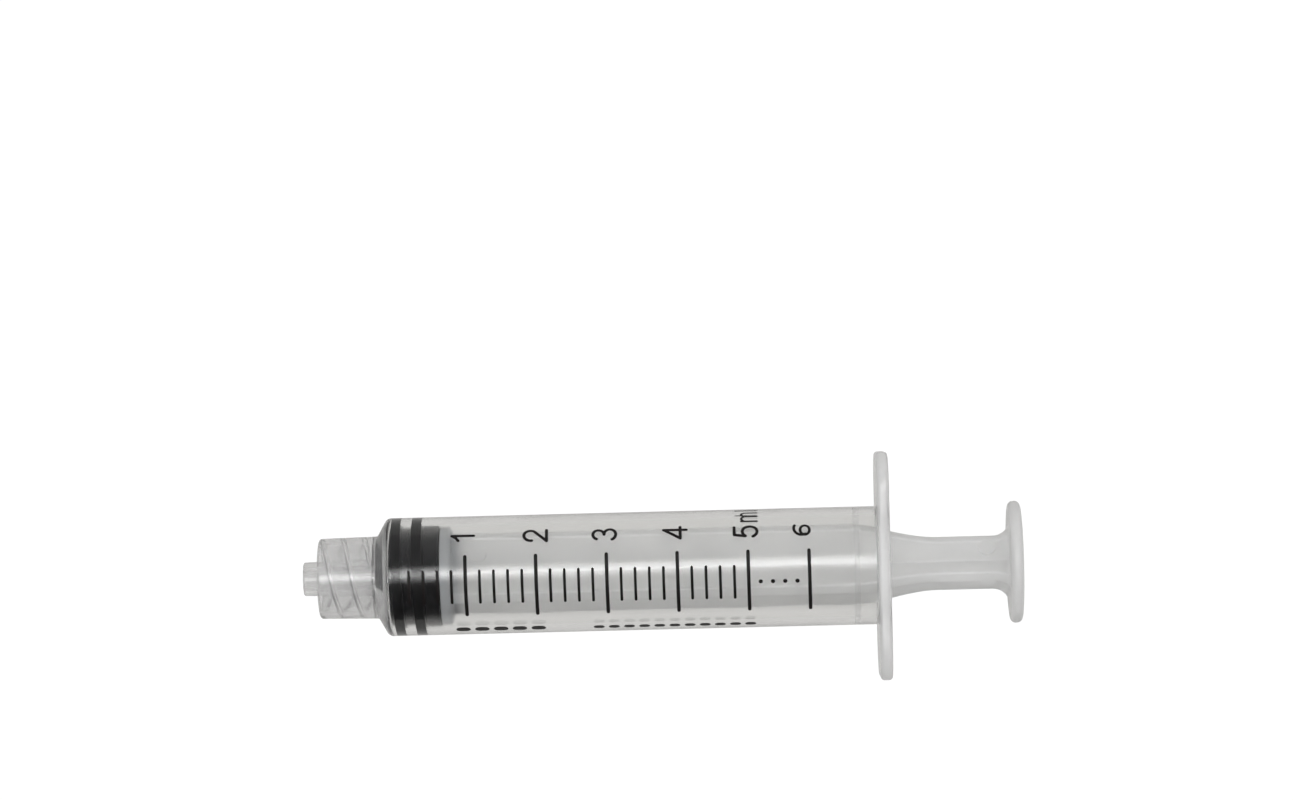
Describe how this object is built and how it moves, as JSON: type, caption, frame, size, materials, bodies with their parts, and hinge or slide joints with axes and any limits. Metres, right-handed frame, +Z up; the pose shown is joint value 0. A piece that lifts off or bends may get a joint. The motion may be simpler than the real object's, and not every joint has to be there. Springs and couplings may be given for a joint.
{
  "type": "oral syringe",
  "caption": "Clear plastic syringe with a Luer-lock tip and finger flange, a black rubber plunger gasket and a milky plunger rod with cross-shaped fins and a round thumb disc.",
  "frame": {"origin": "on the surface that the flange's long edge rests on, below the middle of the overall length", "axes": "+X along the barrel's axis from the Luer tip to the thumb disc, +Y along the flange's long side, +Z up, towards the printed scale"},
  "size_m": [0.0854, 0.027, 0.0166],
  "materials": {
    "clear_polypropylene": "clear, polished moulding",
    "black_rubber": "lubricated black rubber",
    "milky_polypropylene": "translucent, fine satin moulding",
    "black_ink": "black pad-printed ink, for the scale on the barrel"
  },
  "bodies": {
    "barrel_body": {"barrel": "clear_polypropylene"},
    "gasket_body": {"plunger_gasket": "black_rubber"},
    "rod_body": {"plunger_rod": "milky_polypropylene"}
  },
  "joints": [
    {"name": "plunger_slide", "type": "slide", "parent": "barrel_body", "child": "gasket_body", "axis": [1, 0, 0], "range_m": [0, 0.049]},
    {"name": "rod_swivel", "type": "hinge", "parent": "gasket_body", "child": "rod_body", "pos_m": [-0.0263, 0, 0.0083], "axis": [1, 0, 0], "continuous": true}
  ]
}
